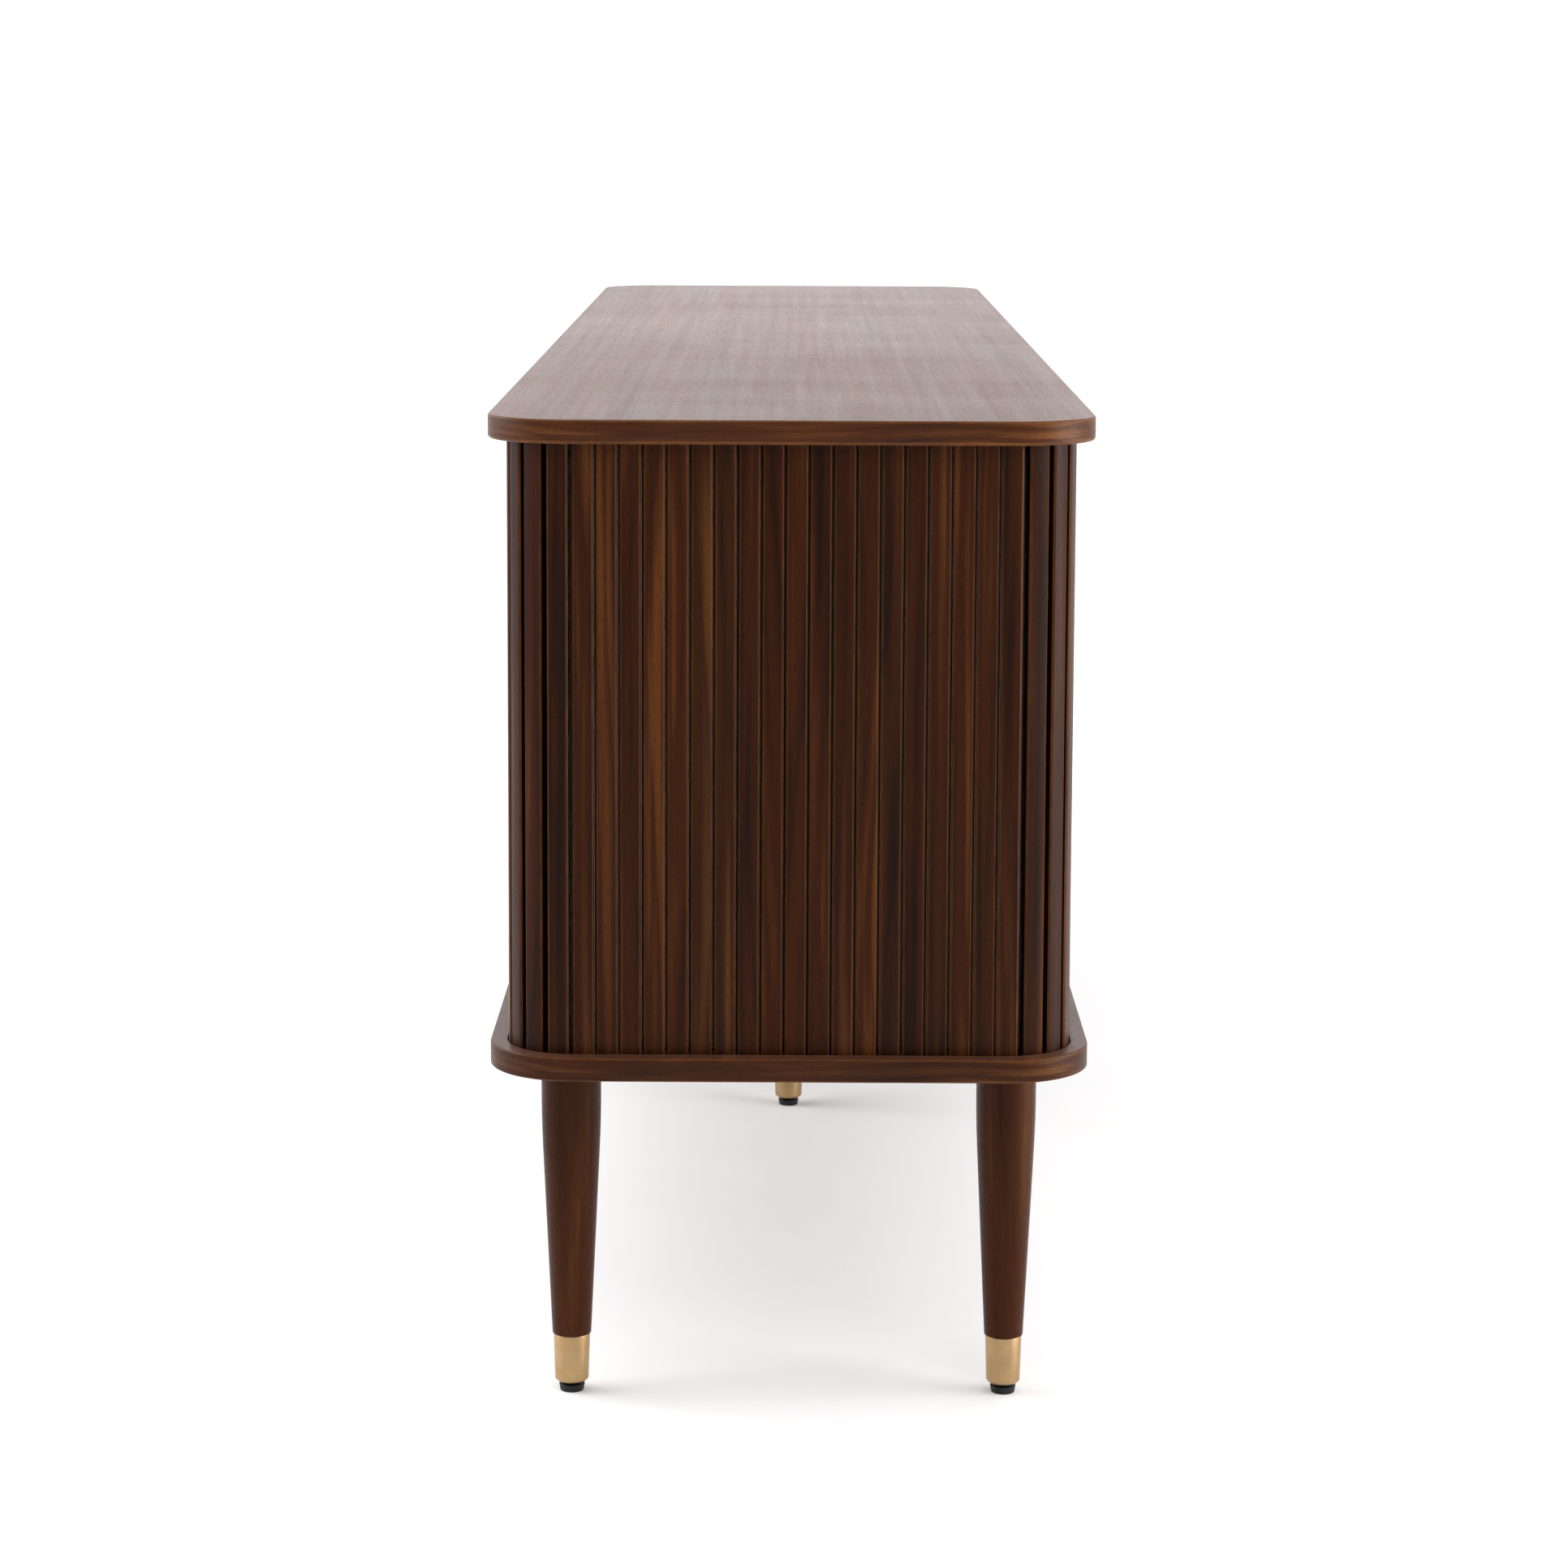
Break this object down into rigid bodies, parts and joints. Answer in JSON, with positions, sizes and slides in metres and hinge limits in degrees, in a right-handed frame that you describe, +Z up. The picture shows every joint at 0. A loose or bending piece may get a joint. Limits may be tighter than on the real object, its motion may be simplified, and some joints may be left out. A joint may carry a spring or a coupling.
{
  "type": "sideboard",
  "caption": "Low walnut sideboard with tambour doors that slide round rounded ends, on turned legs with brass ferrules.",
  "frame": {"origin": "on the floor, under the middle of the sideboard", "axes": "+X along the length, to the end whose slats show in the usual end view; -Y to the doors' meeting line at the front; +Z up"},
  "size_m": [2, 0.45, 0.766],
  "materials": {
    "board_walnut": "satin",
    "slat_walnut": "satin",
    "solid_walnut": "satin",
    "leg_walnut": "satin",
    "carcase_walnut": "satin",
    "back_walnut": "satin",
    "beech": "matt",
    "brass": "brushed",
    "insert_brass": "plain",
    "steel": "zinc plated",
    "black_plastic": "matt",
    "canvas": "woven cotton"
  },
  "bodies": {
    "carcase": {"back_screws": "steel", "base_board": "board_walnut", "base_screws": "steel", "centre_divider": "carcase_walnut", "centre_ferrule": "brass", "centre_leg": "leg_walnut", "end_stops": "beech", "front_left_ferrule": "brass", "front_left_leg": "leg_walnut", "front_right_ferrule": "brass", "front_right_leg": "leg_walnut", "inner_back_panel": "carcase_walnut", "left_end_canvas": "canvas", "left_end_slats": "slat_walnut", "left_front_canvas": "canvas", "left_front_slats": "slat_walnut", "left_inner_side": "carcase_walnut", "left_shelf": "carcase_walnut", "leg_bolts": "steel", "leg_inserts": "insert_brass", "outer_back_panel": "back_walnut", "rear_left_ferrule": "brass", "rear_left_leg": "leg_walnut", "rear_right_ferrule": "brass", "rear_right_leg": "leg_walnut", "right_end_canvas": "canvas", "right_end_slats": "slat_walnut", "right_front_canvas": "canvas", "right_front_slats": "slat_walnut", "right_inner_side": "carcase_walnut", "right_shelf": "carcase_walnut", "shelf_pins": "steel", "top_board": "board_walnut", "top_dowels": "beech"},
    "right_door_lead": {"right_lead_slats": "slat_walnut", "right_lead_canvas": "canvas", "right_lead_stile": "solid_walnut", "right_pull": "solid_walnut"},
    "left_door_lead": {"left_lead_slats": "slat_walnut", "left_lead_canvas": "canvas", "left_lead_stile": "solid_walnut", "left_pull": "solid_walnut"},
    "front_left_foot_body": {"front_left_foot": "black_plastic"},
    "front_right_foot_body": {"front_right_foot": "black_plastic"},
    "rear_left_foot_body": {"rear_left_foot": "black_plastic"},
    "rear_right_foot_body": {"rear_right_foot": "black_plastic"},
    "centre_foot_body": {"centre_foot": "black_plastic"}
  },
  "joints": [
    {"name": "right_door_slide", "type": "slide", "parent": "carcase", "child": "right_door_lead", "axis": [1, 0, 0], "range_m": [0, 0.8488], "deforming": ["right_front_slats", "right_front_canvas"]},
    {"name": "left_door_slide", "type": "slide", "parent": "carcase", "child": "left_door_lead", "axis": [-1, 0, 0], "range_m": [0, 0.8488], "deforming": ["left_front_slats", "left_front_canvas"]},
    {"name": "front_left_foot_screw", "type": "slide", "parent": "carcase", "child": "front_left_foot_body", "axis": [0, 0, -1], "range_m": [0, 0.008]},
    {"name": "front_right_foot_screw", "type": "slide", "parent": "carcase", "child": "front_right_foot_body", "axis": [0, 0, -1], "range_m": [0, 0.008]},
    {"name": "rear_left_foot_screw", "type": "slide", "parent": "carcase", "child": "rear_left_foot_body", "axis": [0, 0, -1], "range_m": [0, 0.008]},
    {"name": "rear_right_foot_screw", "type": "slide", "parent": "carcase", "child": "rear_right_foot_body", "axis": [0, 0, -1], "range_m": [0, 0.008]},
    {"name": "centre_foot_screw", "type": "slide", "parent": "carcase", "child": "centre_foot_body", "axis": [0, 0, -1], "range_m": [0, 0.008]}
  ]
}
